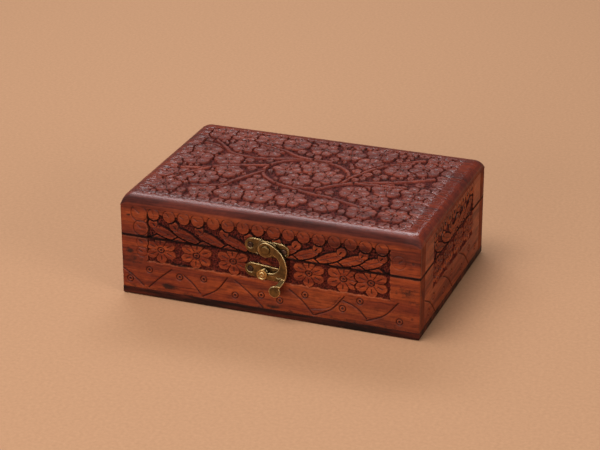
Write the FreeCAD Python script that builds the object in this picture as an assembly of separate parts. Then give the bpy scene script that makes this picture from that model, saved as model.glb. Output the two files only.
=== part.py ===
import FreeCAD, Part

import math
import os

# A carved wooden box with a hinged lid and a brass swing latch, in millimetres.
# +X is to the right along the front, +Y to the back, +Z up, origin under the middle of the box.

# Case
box_length = 178.0
box_depth = 125.0
base_height = 36.9
seam_gap = 0.3
lid_height = 23.8
wall = 8.5
bottom_thickness = 4.6
bottom_edge_round = 1.2
top_thickness = 6.0
top_round_in = 8.5
top_round_down = 4.0
arris_round = 0.8

# Main forms of the carving on top: a sunk ground with flowers and an oval ring left standing
carving_depth = 1.4
carving_left = 10.0
carving_right = 14.0
carving_front = 12.0
carving_back = 9.0
carving_overrun = 1.0
flower_radius = 6.8
ring_x = -1.5
ring_y = 3.8
ring_half_length = 26.8
ring_half_depth = 21.8
ring_width = 2.6

# Where each flower stands, as shares of the half length and the half depth
flower_shares = (
    (-0.78, 0.74), (-0.61, 0.73), (-0.44, 0.72), (-0.25, 0.71), (-0.04, 0.67), (0.16, 0.63),
    (0.35, 0.73), (0.755, 0.735), (-0.57, 0.50), (-0.38, 0.48), (-0.78, 0.31), (-0.58, 0.14),
    (-0.79, 0.08), (-0.51, -0.12), (-0.63, -0.33), (-0.80, -0.36), (-0.80, -0.61), (-0.54, -0.63),
    (-0.36, -0.58), (-0.17, -0.56), (0.04, -0.55), (0.27, -0.57), (0.73, -0.58), (0.54, -0.34),
    (0.57, -0.06), (0.76, -0.05), (0.54, 0.44), (0.32, 0.48), (0.75, -0.30), (0.70, 0.52),
    (-0.26, -0.34), (0.38, -0.21), (0.52, -0.61), (-0.15, 0.10), (0.01, 0.22), (0.14, 0.04), (-0.04, -0.12),
)

# Velvet linings on the floor and under the top
lining_thickness = 1.2
lining_gap = 0.5

# Panel pins that hold the butted corners and the bottom, driven below the surface
pin_head_radius = 0.9
pin_head_thickness = 0.6
pin_shank_radius = 0.6
pin_length = 17.0
pin_set = 0.4
base_pin_rise = 8.0
base_pin_spacing = 16.0
bottom_pin_length = 15.0
bottom_pin_inset = 27.0
driven_clearance = 0.02

# Two butt hinges in the seam at the back, their barrels outside
hinge_inset = 37.0
hinge_length = 25.0
leaf_thickness = 0.8
leaf_reach = 7.0
knuckle_radius = 1.8
hinge_pin_radius = 0.9
hinge_pin_overhang = 0.3
knuckle_gap = 0.25
barrel_clearance = 0.3
pin_running_clearance = 0.05
mortise_clearance = 0.1
screw_spacing = 15.0
screw_edge = 3.9
screw_head_radius = 1.5
screw_head_depth = 0.7
screw_shank_radius = 0.75
screw_length = 7.0
screw_slot_width = 0.4
screw_slot_depth = 0.3

# Swing latch on the front: an upper plate with the hook, and a keeper plate with the stud
latch_x = 0.3
latch_rise = 5.0
latch_tilt = 5.0
plate_thickness = 0.9
plate_edge_round = 0.3
latch_plate_length = 26.4
latch_plate_height = 9.2
latch_nail_spacing = 19.8
boss_radius = 5.4
boss_rise = 1.0
keeper_plate_length = 23.4
keeper_plate_height = 8.4
keeper_nail_spacing = 16.8
nail_head_radius = 1.7
nail_head_thickness = 0.7
nail_head_round = 0.35
nail_seat_depth = 0.35
nail_seat_clearance = 0.2
nail_shank_radius = 0.6
nail_length = 6.5

# Hook, measured from its pivot: x to the right and drops downward
hook_thickness = 1.3
hook_lift = 0.1
hook_eye_radius = 4.4
hook_bow_x = -3.4
hook_bow_drop = 11.0
hook_gape_x = 2.6
hook_gape_radius = 5.8
prong_drop = 14.6
prong_width = 1.6
prong_tip_x = 0.2
handle_width = 2.5
tab_radius = 3.3
tab_x = 6.1
tab_drop = 23.4
tab_step = 2.6
bend_drop = 16.4

# Rivet that the hook turns on, and the stud that its prong lies beside
rivet_shank_radius = 1.1
rivet_head_radius = 2.7
rivet_head_thickness = 1.0
rivet_head_round = 0.6
rivet_tail_radius = 1.9
rivet_tail_thickness = 0.6
stud_neck_radius = 1.4
stud_collar_radius = 2.2
stud_collar_thickness = 0.5
stud_head_radius = 3.2
stud_head_thickness = 1.3
stud_head_round = 0.4
stud_head_clearance = 0.6
stud_ring_inner_radius = 1.5
stud_ring_outer_radius = 2.3
stud_ring_depth = 0.3
stud_dimple_radius = 0.5
prong_gap = 0.5

# Places worked out from the sizes above
half_length = box_length / 2
half_depth = box_depth / 2
lid_edge = base_height + seam_gap
lid_top = lid_edge + lid_height
rail_top = lid_top - top_thickness
inner_x = half_length - wall
inner_y = half_depth - wall
corner_x = half_length - wall / 2
hinge_axis_y = half_depth + barrel_clearance + knuckle_radius
hinge_axis_z = base_height + seam_gap / 2
pivot_z = lid_edge + latch_rise
boss_front = plate_thickness + boss_rise
hook_back = boss_front + hook_lift
hook_front = hook_back + hook_thickness
hook_gape_drop = prong_drop - prong_width / 2 - hook_gape_radius
stud_x = latch_x + prong_tip_x - prong_gap - stud_neck_radius
stud_z = pivot_z - prong_drop
stud_head_back = hook_front + stud_head_clearance
stud_head_front = stud_head_back + stud_head_thickness

# Share of a quarter ellipse's half axis at which its curve's control points lie
quarter_pull = 0.5523

X = FreeCAD.Vector(1, 0, 0)
Y = FreeCAD.Vector(0, 1, 0)
Z = FreeCAD.Vector(0, 0, 1)


def vector(x, y, z):
    return FreeCAD.Vector(x, y, z)


def block(x0, x1, y0, y1, z0, z1):
    """A board between two corners."""
    return Part.makeBox(x1 - x0, y1 - y0, z1 - z0, vector(x0, y0, z0))


def cylinder(radius, start, direction, length):
    return Part.makeCylinder(radius, length, start, direction)


def cut_all(shape, tools):
    for tool in tools:
        shape = shape.cut(tool)
    return shape


def fuse_all(shapes):
    whole = shapes[0]
    for shape in shapes[1:]:
        whole = whole.fuse(shape)
    return whole.removeSplitter()


def save(name, shapes):
    """One file per node: a single solid, or a group of separate solids."""
    solids = [solid for shape in shapes for solid in shape.Solids]
    shape = solids[0] if len(solids) == 1 else Part.makeCompound(solids)
    shape.exportStep(f"parts/{name}.step")


# Pins that are driven into the wood

def pin(surface, direction, length):
    """A panel pin whose head lies below the surface point, pointing in the given direction."""
    head_start = surface + direction * pin_set
    head = cylinder(pin_head_radius, head_start, direction, pin_head_thickness)
    shank = cylinder(pin_shank_radius, head_start, direction, length)
    return head.fuse(shank)


def pin_hole(surface, direction, length):
    """The hole that such a pin fills, open at the surface."""
    head_length = pin_set + pin_head_thickness
    mouth = cylinder(pin_head_radius + driven_clearance, surface, direction, head_length)
    way = cylinder(pin_shank_radius + driven_clearance, surface, direction, pin_set + length)
    return mouth.fuse(way)


def corner_pin_places(heights):
    """Where pins enter the front and back boards over the end boards, and which way they point."""
    places = []
    for side in (-1, 1):
        for facing in (-1, 1):
            for height in heights:
                surface = vector(side * corner_x, facing * half_depth, height)
                places.append((surface, Y * -facing))
    return places


def base_pin_places():
    lower = bottom_thickness + base_pin_rise
    return corner_pin_places((lower, lower + base_pin_spacing))


def lid_pin_places():
    return corner_pin_places(((lid_edge + rail_top) / 2,))


def bottom_pin_places():
    """Pins up through the bottom board: three under each long wall and one under each end wall."""
    places = []
    for side in (-1, 1):
        for step in (-1, 0, 1):
            x = step * (half_length - bottom_pin_inset)
            places.append((vector(x, side * (half_depth - wall / 2), 0), Z))
        places.append((vector(side * corner_x, 0, 0), Z))
    return places


# Hinges

def hinge_centres():
    return {"left": hinge_inset - half_length, "right": half_length - hinge_inset}


def knuckle_spans(centre):
    """The three knuckles along X: the outer two belong to the base leaf, the middle one to the lid's."""
    third = hinge_length / 3
    start = centre - hinge_length / 2
    spans = []
    for i in range(3):
        low = start + i * third + (knuckle_gap / 2 if i > 0 else 0)
        high = start + (i + 1) * third - (knuckle_gap / 2 if i < 2 else 0)
        spans.append((low, high))
    return spans


def screw_places(centre, surface_z):
    """The two screws of one leaf, at the leaf's open face."""
    y = half_depth - screw_edge
    return [vector(centre + side * screw_spacing / 2, y, surface_z) for side in (-1, 1)]


def screw_body(place, direction, clearance):
    head = Part.makeCone(
        screw_head_radius + clearance,
        screw_shank_radius + clearance,
        screw_head_depth,
        place,
        direction,
    )
    return head.fuse(cylinder(screw_shank_radius + clearance, place, direction, screw_length))


def screw(place, direction):
    """A countersunk screw with a slot, its head level with the leaf."""
    slot = Part.makeBox(
        2 * screw_head_radius,
        screw_slot_width,
        2 * screw_slot_depth,
        place - vector(screw_head_radius, screw_slot_width / 2, screw_slot_depth),
    )
    return screw_body(place, direction, 0).cut(slot)


def leaf(centre, low_z, open_z, direction, knuckles, bore_radius):
    """One hinge leaf: a plate over the wall's edge, rolled into its own knuckles outside."""
    start = centre - hinge_length / 2
    high_z = low_z + leaf_thickness
    shapes = [block(start, start + hinge_length, half_depth - leaf_reach, half_depth, low_z, high_z)]
    for low, high in knuckles:
        shapes.append(block(low, high, half_depth, hinge_axis_y, low_z, high_z))
        shapes.append(cylinder(knuckle_radius, vector(low, hinge_axis_y, hinge_axis_z), X, high - low))
    bore_start = vector(start - knuckle_gap, hinge_axis_y, hinge_axis_z)
    bore = cylinder(bore_radius, bore_start, X, hinge_length + 2 * knuckle_gap)
    holes = [screw_body(place, direction, driven_clearance) for place in screw_places(centre, open_z)]
    return cut_all(fuse_all(shapes), [bore] + holes)


def base_leaf(centre):
    low, middle, high = knuckle_spans(centre)
    bore_radius = hinge_pin_radius + driven_clearance
    return leaf(centre, base_height - leaf_thickness, base_height, Z * -1, (low, high), bore_radius)


def lid_leaf(centre):
    low, middle, high = knuckle_spans(centre)
    bore_radius = hinge_pin_radius + pin_running_clearance
    return leaf(centre, lid_edge, lid_edge, Z, (middle,), bore_radius)


def hinge_pin(centre):
    length = hinge_length + 2 * hinge_pin_overhang
    start = vector(centre - length / 2, hinge_axis_y, hinge_axis_z)
    rod = cylinder(hinge_pin_radius, start, X, length)
    return rod.makeFillet(hinge_pin_overhang * 0.9, rod.Edges)


def mortise(centre, low_z):
    """The shallow seat of one leaf, open at the back and on the leaf's open side."""
    start = centre - hinge_length / 2 - mortise_clearance
    end = centre + hinge_length / 2 + mortise_clearance
    inner = half_depth - leaf_reach - mortise_clearance
    return block(start, end, inner, half_depth, low_z, low_z + leaf_thickness)


# Case boards

def long_board(side, low_z, high_z):
    """A front (-1) or back (1) board over the whole length, its outer corners slightly eased."""
    inner, outer = sorted((side * inner_y, side * half_depth))
    board = block(-half_length, half_length, inner, outer, low_z, high_z)
    corners = []
    for edge in board.Edges:
        upright = abs(edge.Vertexes[0].Z - edge.Vertexes[1].Z) > (high_z - low_z) / 2
        if upright and abs(abs(edge.CenterOfMass.y) - half_depth) < arris_round / 2:
            corners.append(edge)
    return board.makeFillet(arris_round, corners)


def end_board(side, low_z, high_z):
    """A left (-1) or right (1) board between the long ones."""
    inner, outer = sorted((side * inner_x, side * half_length))
    return block(inner, outer, -inner_y, inner_y, low_z, high_z)


def bottom_board():
    board = block(-half_length, half_length, -half_depth, half_depth, 0, bottom_thickness)
    lower = [edge for edge in board.Edges if edge.BoundBox.ZMax < bottom_thickness / 2]
    eased = board.makeFillet(bottom_edge_round, lower)
    return cut_all(eased, [pin_hole(at, way, bottom_pin_length) for at, way in bottom_pin_places()])


def rounded_edge(half_width, side):
    """A quarter ellipse from the top panel's flat crown down to its side, as one smooth curve."""
    flat_half = half_width - top_round_in
    shoulder = lid_top - top_round_down
    curve = Part.BezierCurve()
    curve.setPoles([
        vector(side * flat_half, 0, lid_top),
        vector(side * (flat_half + quarter_pull * top_round_in), 0, lid_top),
        vector(side * half_width, 0, shoulder + quarter_pull * top_round_down),
        vector(side * half_width, 0, shoulder),
    ])
    return curve.toShape()


def rounded_section(half_width):
    """The top panel's outline across one direction, with a low round on both upper edges."""
    flat_half = half_width - top_round_in
    shoulder = lid_top - top_round_down
    corners = [
        vector(-half_width, 0, shoulder),
        vector(-half_width, 0, rail_top),
        vector(half_width, 0, rail_top),
        vector(half_width, 0, shoulder),
    ]
    sides = [Part.makeLine(a, b) for a, b in zip(corners, corners[1:])]
    crown = Part.makeLine(vector(flat_half, 0, lid_top), vector(-flat_half, 0, lid_top))
    edges = [rounded_edge(half_width, 1), crown, rounded_edge(half_width, -1)] + sides
    return Part.Face(Part.Wire(Part.__sortEdges__(edges)))


def oval(inset, low_z, height):
    """An upright oval block with the ring's outline, or one that lies inside it."""
    outline = Part.Ellipse(vector(ring_x, ring_y, low_z), ring_half_length - inset, ring_half_depth - inset)
    return Part.Face(Part.Wire(outline.toShape())).extrude(Z * height)


def carved_ground():
    """The wood cut away on top, round the flowers and the oval ring that are left standing."""
    floor = lid_top - carving_depth
    height = carving_depth + carving_overrun
    left = carving_left - half_length
    right = half_length - carving_right
    front = carving_front - half_depth
    back = half_depth - carving_back
    ground = block(left, right, front, back, floor, floor + height)
    ring = oval(0, floor, height).cut(oval(ring_width, floor, height))
    flowers = []
    for share_x, share_y in flower_shares:
        middle = vector(share_x * half_length, share_y * half_depth, floor)
        flowers.append(cylinder(flower_radius, middle, Z, height))
    return cut_all(ground, [ring] + flowers)


def lid_top_panel():
    """The top board: its edge is rounded over along all four sides and mitres at the corners."""
    across = rounded_section(half_length)
    across.translate(Y * -half_depth)
    along = rounded_section(half_depth)
    along.rotate(vector(0, 0, 0), Z, 90)
    along.translate(X * -half_length)
    board = across.extrude(Y * box_depth).common(along.extrude(X * box_length))
    return board.cut(carved_ground())


def lining(low_z):
    x = inner_x - lining_gap
    y = inner_y - lining_gap
    return block(-x, x, -y, y, low_z, low_z + lining_thickness)


# Latch, drawn on the front: x and z as seen, depth measured outward from the wood

def on_front(x, depth, z):
    return vector(x, -half_depth - depth, z)


def raise_outline(wire, back, front):
    """A solid between two depths from a closed outline drawn in the XZ plane at y = 0."""
    face = Part.Face(wire)
    face.translate(Y * (-half_depth - back))
    return face.extrude(Y * (back - front))


def stadium(length, height, x, z):
    """A flat outline with two round ends."""
    radius = height / 2
    reach = length / 2 - radius
    top_left = vector(x - reach, 0, z + radius)
    top_right = vector(x + reach, 0, z + radius)
    low_right = vector(x + reach, 0, z - radius)
    low_left = vector(x - reach, 0, z - radius)
    right = Part.Arc(top_right, vector(x + reach + radius, 0, z), low_right)
    left = Part.Arc(low_left, vector(x - reach - radius, 0, z), top_left)
    lower = Part.makeLine(low_right, low_left)
    upper = Part.makeLine(top_left, top_right)
    return Part.Wire([upper, right.toShape(), lower, left.toShape()])


def round_front(shape, depth, radius):
    """Rounds the edges that lie at one depth in front of the wood."""
    level = -half_depth - depth
    small = radius / 10
    edges = []
    for edge in shape.Edges:
        box = edge.BoundBox
        if abs(box.YMin - level) < small and abs(box.YMax - level) < small:
            edges.append(edge)
    return shape.makeFillet(radius, edges)


def tilted(shape, x, z):
    """The plates are nailed on a little askew, turned about their own centre."""
    shape.rotate(on_front(x, 0, z), Y, latch_tilt)
    return shape


def nail_places(x, z, spacing):
    """The seats of a plate's two nails, along the tilted plate."""
    slope = math.radians(latch_tilt)
    places = []
    for side in (-1, 1):
        reach = side * spacing / 2
        seat = plate_thickness - nail_seat_depth
        places.append(on_front(x + reach * math.cos(slope), seat, z - reach * math.sin(slope)))
    return places


def nail(seat):
    """A round-headed nail driven in until its head sits in the plate's dimple."""
    head = cylinder(nail_head_radius, seat, Y * -1, nail_head_thickness)
    rim = [edge for edge in head.Edges if edge.BoundBox.YMax < seat.y - nail_head_thickness / 2]
    head = head.makeFillet(nail_head_round, rim)
    return head.fuse(cylinder(nail_shank_radius, seat, Y, nail_length))


def nail_way(seat):
    return cylinder(nail_shank_radius + driven_clearance, seat, Y, nail_length)


def nail_seat(seat):
    dimple = cylinder(nail_head_radius + nail_seat_clearance, seat, Y * -1, nail_head_thickness)
    return dimple.fuse(nail_way(seat))


def latch_nail_places():
    return nail_places(latch_x, pivot_z, latch_nail_spacing)


def keeper_nail_places():
    return nail_places(stud_x, stud_z, keeper_nail_spacing)


def latch_plate():
    """The upper plate: two flat lobes and a pressed-out middle, hollow behind, for the rivet."""
    outline = stadium(latch_plate_length, latch_plate_height, latch_x, pivot_z)
    lobes = round_front(raise_outline(outline, 0, plate_thickness), plate_thickness, plate_edge_round)
    boss = raise_outline(outline, 0, boss_front)
    boss = boss.common(cylinder(boss_radius, on_front(latch_x, 0, pivot_z), Y * -1, boss_front))
    boss = round_front(boss, boss_front, plate_edge_round)
    hollow_radius = min(boss_radius, latch_plate_height / 2) - plate_thickness
    hollow = cylinder(hollow_radius, on_front(latch_x, 0, pivot_z), Y * -1, boss_rise)
    bore_radius = rivet_shank_radius + driven_clearance
    bore = cylinder(bore_radius, on_front(latch_x, 0, pivot_z), Y * -1, boss_front)
    whole = tilted(fuse_all([lobes, boss]), latch_x, pivot_z)
    return cut_all(whole, [hollow, bore] + [nail_seat(seat) for seat in latch_nail_places()])


def keeper_plate():
    outline = stadium(keeper_plate_length, keeper_plate_height, stud_x, stud_z)
    plate = round_front(raise_outline(outline, 0, plate_thickness), plate_thickness, plate_edge_round)
    bore_radius = stud_neck_radius + driven_clearance
    bore = cylinder(bore_radius, on_front(stud_x, 0, stud_z), Y * -1, plate_thickness)
    seats = [nail_seat(seat) for seat in keeper_nail_places()]
    return cut_all(tilted(plate, stud_x, stud_z), [bore] + seats)


def keeper_stud():
    """A mushroom stud: neck, collar on the plate, and a head with a ring turned into its face."""
    root = on_front(stud_x, 0, stud_z)
    neck = cylinder(stud_neck_radius, root, Y * -1, stud_head_front - stud_ring_depth)
    collar_start = on_front(stud_x, plate_thickness, stud_z)
    collar = cylinder(stud_collar_radius, collar_start, Y * -1, stud_collar_thickness)
    head_start = on_front(stud_x, stud_head_back, stud_z)
    head = cylinder(stud_head_radius, head_start, Y * -1, stud_head_thickness)
    rims = [edge for edge in head.Edges if edge.BoundBox.YLength < stud_head_round]
    head = head.makeFillet(stud_head_round, rims)
    floor_start = on_front(stud_x, stud_head_front - stud_ring_depth, stud_z)
    ring = cylinder(stud_ring_outer_radius, floor_start, Y * -1, stud_ring_depth)
    ring = ring.cut(cylinder(stud_ring_inner_radius, floor_start, Y * -1, stud_ring_depth))
    dimple = cylinder(stud_dimple_radius, floor_start, Y * -1, stud_ring_depth)
    return cut_all(fuse_all([neck, collar, head]), [ring, dimple])


def latch_pivot_rivet():
    """Tail in the plate's hollow, shank through plate and hook, low domed head in front."""
    tail_start = on_front(latch_x, boss_rise - rivet_tail_thickness, pivot_z)
    tail = cylinder(rivet_tail_radius, tail_start, Y * -1, rivet_tail_thickness)
    head_back = hook_front + hook_lift
    shank_start = on_front(latch_x, boss_rise, pivot_z)
    shank = cylinder(rivet_shank_radius, shank_start, Y * -1, head_back - boss_rise)
    head = cylinder(rivet_head_radius, on_front(latch_x, head_back, pivot_z), Y * -1, rivet_head_thickness)
    head = round_front(head, head_back + rivet_head_thickness, rivet_head_round)
    return fuse_all([tail, shank, head])


def hook_disc(x, drop, radius):
    """A round blank of the hook's outline, deeper than the finished hook."""
    return cylinder(radius, on_front(latch_x + x, 0, pivot_z - drop), Y * -1, hook_front + tab_step)


def hook_blank(corners):
    """A straight-sided blank of the hook's outline, as deep as the round ones."""
    points = [vector(latch_x + x, 0, pivot_z - drop) for x, drop in corners]
    return raise_outline(Part.makePolygon(points + points[:1]), 0, hook_front + tab_step)


def hook_arm(bow, bow_radius, bow_reach):
    """From the eye round to the prong: what the round gape, level with the prong, leaves of the bow."""
    beyond = bow_radius / bow_reach
    prong_lower = prong_drop + prong_width / 2
    sector = hook_blank([
        (0, 0),
        (-hook_bow_x * beyond, -hook_bow_drop * beyond),
        (bow_radius, -hook_bow_drop * beyond),
        (bow_radius, prong_lower),
        (hook_gape_x, prong_lower),
        (hook_gape_x, hook_gape_drop),
    ])
    return bow.common(sector).cut(hook_disc(hook_gape_x, hook_gape_drop, hook_gape_radius))


def hook_prong():
    tip_x = prong_tip_x + prong_width / 2
    upper = prong_drop - prong_width / 2
    lower = prong_drop + prong_width / 2
    root_x = hook_gape_x + hook_gape_radius
    bar = hook_blank([(tip_x, upper), (root_x, upper), (root_x, lower), (tip_x, lower)])
    return bar.fuse(hook_disc(tip_x, prong_drop, prong_width / 2))


def hook_handle(bow, bow_radius):
    """The outer rim of the bow, carried on down into the finger tab."""
    inside = hook_disc(hook_bow_x, hook_bow_drop, bow_radius - handle_width)
    end = tab_drop - tab_radius / 2
    corners = [(0, prong_drop), (bow_radius, prong_drop), (bow_radius, end), (0, end)]
    return bow.cut(inside).common(hook_blank(corners))


def hook_side_strip():
    """The hook seen from the side: flat along the plates, stepped forward at the finger tab."""
    bend_end = tab_drop - tab_radius
    above = -2 * hook_eye_radius
    below = tab_drop + 2 * tab_radius
    back = [(0, above), (0, bend_drop), (tab_step, bend_end), (tab_step, below)]
    front = [(step + hook_thickness, drop) for step, drop in reversed(back)]
    corners = [on_front(-half_length, hook_back + step, pivot_z - drop) for step, drop in back + front]
    face = Part.Face(Part.makePolygon(corners + corners[:1]))
    return face.extrude(X * box_length)


def latch_hook():
    """Eye, bow, prong, handle and finger tab in one piece. The bow's arc leaves the eye smoothly."""
    bow_reach = math.hypot(hook_bow_x, hook_bow_drop)
    bow_radius = bow_reach + hook_eye_radius
    bow = hook_disc(hook_bow_x, hook_bow_drop, bow_radius)
    pieces = [
        hook_disc(0, 0, hook_eye_radius),
        hook_arm(bow, bow_radius, bow_reach),
        hook_prong(),
        hook_handle(bow, bow_radius),
        hook_disc(tab_x, tab_drop, tab_radius),
    ]
    bore = hook_disc(0, 0, rivet_shank_radius + pin_running_clearance)
    return fuse_all(pieces).common(hook_side_strip()).cut(bore)


# Every node, with the cuts that its neighbours need

def write_base():
    pins = base_pin_places()
    corner_holes = [pin_hole(at, way, pin_length) for at, way in pins]
    bottom_holes = [pin_hole(at, way, bottom_pin_length) for at, way in bottom_pin_places()]
    centres = hinge_centres()
    mortises = [mortise(centre, base_height - leaf_thickness) for centre in centres.values()]
    screws = [place for centre in centres.values() for place in screw_places(centre, base_height)]
    screw_holes = [screw_body(place, Z * -1, driven_clearance) for place in screws]
    nail_ways = [nail_way(seat) for seat in keeper_nail_places()]
    holes = corner_holes + bottom_holes
    front = long_board(-1, bottom_thickness, base_height)
    back = long_board(1, bottom_thickness, base_height)
    save("base_front_wall", [cut_all(front, holes + nail_ways)])
    save("base_back_wall", [cut_all(back, holes + mortises + screw_holes)])
    save("base_left_wall", [cut_all(end_board(-1, bottom_thickness, base_height), holes)])
    save("base_right_wall", [cut_all(end_board(1, bottom_thickness, base_height), holes)])
    save("bottom_board", [bottom_board()])
    save("floor_lining", [lining(bottom_thickness)])
    save("base_wall_pins", [pin(at, way, pin_length) for at, way in pins])
    save("bottom_pins", [pin(at, way, bottom_pin_length) for at, way in bottom_pin_places()])
    save("hinge_base_screws", [screw(place, Z * -1) for place in screws])
    for side, centre in centres.items():
        save(f"hinge_{side}_base_leaf", [base_leaf(centre)])
        save(f"hinge_{side}_pin", [hinge_pin(centre)])
    save("keeper_plate", [keeper_plate()])
    save("keeper_stud", [keeper_stud()])
    save("keeper_nails", [nail(seat) for seat in keeper_nail_places()])


def write_lid():
    pins = lid_pin_places()
    holes = [pin_hole(at, way, pin_length) for at, way in pins]
    centres = hinge_centres()
    mortises = [mortise(centre, lid_edge) for centre in centres.values()]
    screws = [place for centre in centres.values() for place in screw_places(centre, lid_edge)]
    screw_holes = [screw_body(place, Z, driven_clearance) for place in screws]
    nail_ways = [nail_way(seat) for seat in latch_nail_places()]
    save("lid_top_panel", [lid_top_panel()])
    save("lid_front_rail", [cut_all(long_board(-1, lid_edge, rail_top), holes + nail_ways)])
    save("lid_back_rail", [cut_all(long_board(1, lid_edge, rail_top), holes + mortises + screw_holes)])
    save("lid_left_rail", [cut_all(end_board(-1, lid_edge, rail_top), holes)])
    save("lid_right_rail", [cut_all(end_board(1, lid_edge, rail_top), holes)])
    save("lid_lining", [lining(rail_top - lining_thickness)])
    save("lid_wall_pins", [pin(at, way, pin_length) for at, way in pins])
    save("hinge_lid_screws", [screw(place, Z) for place in screws])
    for side, centre in centres.items():
        save(f"hinge_{side}_lid_leaf", [lid_leaf(centre)])
    save("latch_plate", [latch_plate()])
    save("latch_plate_nails", [nail(seat) for seat in latch_nail_places()])
    save("latch_pivot_rivet", [latch_pivot_rivet()])


os.makedirs("parts", exist_ok=True)
write_base()
write_lid()
save("latch_hook", [latch_hook()])
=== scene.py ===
from math import cos, pi, radians, sin

import bpy
import numpy as np
from mathutils import Matrix, Vector


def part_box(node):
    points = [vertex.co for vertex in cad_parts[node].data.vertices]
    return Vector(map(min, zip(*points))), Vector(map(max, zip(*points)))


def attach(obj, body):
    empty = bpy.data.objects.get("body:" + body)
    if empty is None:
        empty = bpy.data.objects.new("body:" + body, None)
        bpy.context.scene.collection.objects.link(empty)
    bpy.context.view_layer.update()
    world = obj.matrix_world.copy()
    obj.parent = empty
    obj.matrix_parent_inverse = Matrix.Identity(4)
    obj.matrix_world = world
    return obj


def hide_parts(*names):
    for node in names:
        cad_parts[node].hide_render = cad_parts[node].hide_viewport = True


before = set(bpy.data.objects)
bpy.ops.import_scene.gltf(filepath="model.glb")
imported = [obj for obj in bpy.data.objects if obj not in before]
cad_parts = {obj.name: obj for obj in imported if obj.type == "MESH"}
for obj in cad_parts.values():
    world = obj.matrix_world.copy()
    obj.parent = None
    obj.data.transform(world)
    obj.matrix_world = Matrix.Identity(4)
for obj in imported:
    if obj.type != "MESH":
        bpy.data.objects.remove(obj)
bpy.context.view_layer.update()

# Lengths are in millimetres up to the point where a mesh is made
MM = 0.001


def box_of(node):
    """The low and the high corner of a node's box, in millimetres."""
    return [[round(value / MM, 2) for value in corner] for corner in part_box(node)]


# The boards' sizes, from the frame
wall_low, wall_high = box_of("base_front_wall")
rail_low, rail_high = box_of("lid_front_rail")
leaf_low, leaf_high = box_of("hinge_right_base_leaf")
HALF_LENGTH = wall_high[0]
HALF_DEPTH = -wall_low[1]
HALF_INNER_DEPTH = -wall_high[1]
WALL = HALF_DEPTH - HALF_INNER_DEPTH
BASE_LOW = wall_low[2]
BASE_HIGH = wall_high[2]
LID_LOW = rail_low[2]
RAIL_HIGH = rail_high[2]
TOP_HIGH = box_of("lid_top_panel")[1][2]
SEAM_HEIGHT = 0.5 * (BASE_HIGH + LID_LOW)

# Hinge mortises and panel pins
HINGE_X = (leaf_low[0] + leaf_high[0]) / 2
MORTISE_CLEARANCE = 0.1
MORTISE_HALF = (leaf_high[0] - leaf_low[0]) / 2 + MORTISE_CLEARANCE
MORTISE_REACH = 7.1
MORTISE_DEPTH = 0.8
MORTISE_STEP = 0.02
PIN_X = HALF_LENGTH - WALL / 2
BASE_PIN_HEIGHTS = (12.6, 28.6)
LID_PIN_HEIGHT = (LID_LOW + RAIL_HIGH) / 2
PIN_MARK_RADIUS = 0.95

# Edges: the top's rounding runs further in along the front and the back than at the ends
EASED_EDGE = 0.3
CORNER_ROUND = 0.8
TOP_ROUND_DOWN = 4.0
TOP_ROUND_IN = 8.5
TOP_END_ROUND_IN = 6.0
CORNER_FALL = 1.85
LATCH_EDGE = 0.9
HINGE_EDGE = 0.3

# Spacing of the grid lines
CARVING_STEP = 0.35
TOP_STEP = 0.46
LINING_STEP = 1.6
LINING_EDGE = 1.0

# Carving
SIDE_CARVING_DEPTH = 1.5
END_CARVING_DEPTH = 0.85
TOP_CARVING_DEPTH = 1.5
DEEPEST_CUT = 2.4
FIELD_OVERRUN = 2.0
STIPPLE = 1.5
SIDE_MOAT = 0.5
TOP_MOAT = 0.8
CUT_EDGE = 0.42
SCORE_EDGE = 0.5
MOTIF_MARGIN = 1.5
BUD_RISE = 1.2
MOTIF_RISE = 1.15
SLIT_DEPTH = 0.55
FAINT_SLIT = 0.34
OUTLINE_DEPTH = 0.4
LINE_DEPTH = 0.6
SIDE_FULLNESS = 0.98
TOP_FULLNESS = 1.12
RING_DOT_RADIUS = 1.85
END_PIT = 1.15

# Painted shade and highlights, metal patina with painted shade, and a darker foot: first distances, then
# strengths
# Painted shade along the seam between the base and the lid, and on the sawn ends across it
SEAM_SHADE_WIDTH = 0.75
SEAM_SHADOW = 1.3
SEAM_LIP = 0.8
SEAM_LIP_WIDTH = 0.3
END_SEAM = 0.7
# Width and strength of a darker band along the foot of the base
FOOT_DARK_WIDTH = 2.4
# Reach of the patina and painted shade in the metal's corners
METAL_PATINA_AND_SHADE_REACH = 1.2
FOOT_DARKNESS = 0.4
SEAM_DULL = 0.6
SEAM_SHADE = 0.5
# Painted shade on the steep walls of the carving, on the sides and on the top
SIDE_WALL_SHADE = 0.4
TOP_WALL_SHADE = 0.62
# Painted highlight on up-facing ledges and lips, on the sides and on the ends
LIP_HIGHLIGHT = 0.35
END_LIP = 0.35
# Painted highlight on the top's upright strip, brightest at its upper edge
STRIP_HIGHLIGHT = 0.3

# Roughness added to the plain wood's, or taken from it for a shine
FIELD_MATT = 0.36
RECESS_MATT = 0.5
FLANK_MATT = 0.7
END_SHINE = 0.2
MARGIN_SHINE = 0.12

# The flank attribute: up to 1 on the top's rounding, and this on the upright strip below it
SIDE_STRIP = 2.0

chance = np.random.default_rng(11)


# Shapes in the flat of a board


def smooth(share):
    """A step from 0 to 1 with soft ends."""
    share = np.clip(share, 0.0, 1.0)
    return share * share * (3.0 - 2.0 * share)


def bell(distance, width):
    return np.exp(-(distance / width) ** 2)


def inside(distance, softness=CUT_EDGE):
    """1 inside a shape and 0 outside it, from a distance that is negative inside."""
    return smooth(0.5 - distance / softness)


def run_distance(u, v, start, end):
    """Distance to a straight run, and the share of the run at its nearest point."""
    run = np.subtract(end, start)
    share = ((u - start[0]) * run[0] + (v - start[1]) * run[1]) / (run @ run)
    share = np.clip(share, 0.0, 1.0)
    return np.hypot(u - start[0] - share * run[0], v - start[1] - share * run[1]), share


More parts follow.
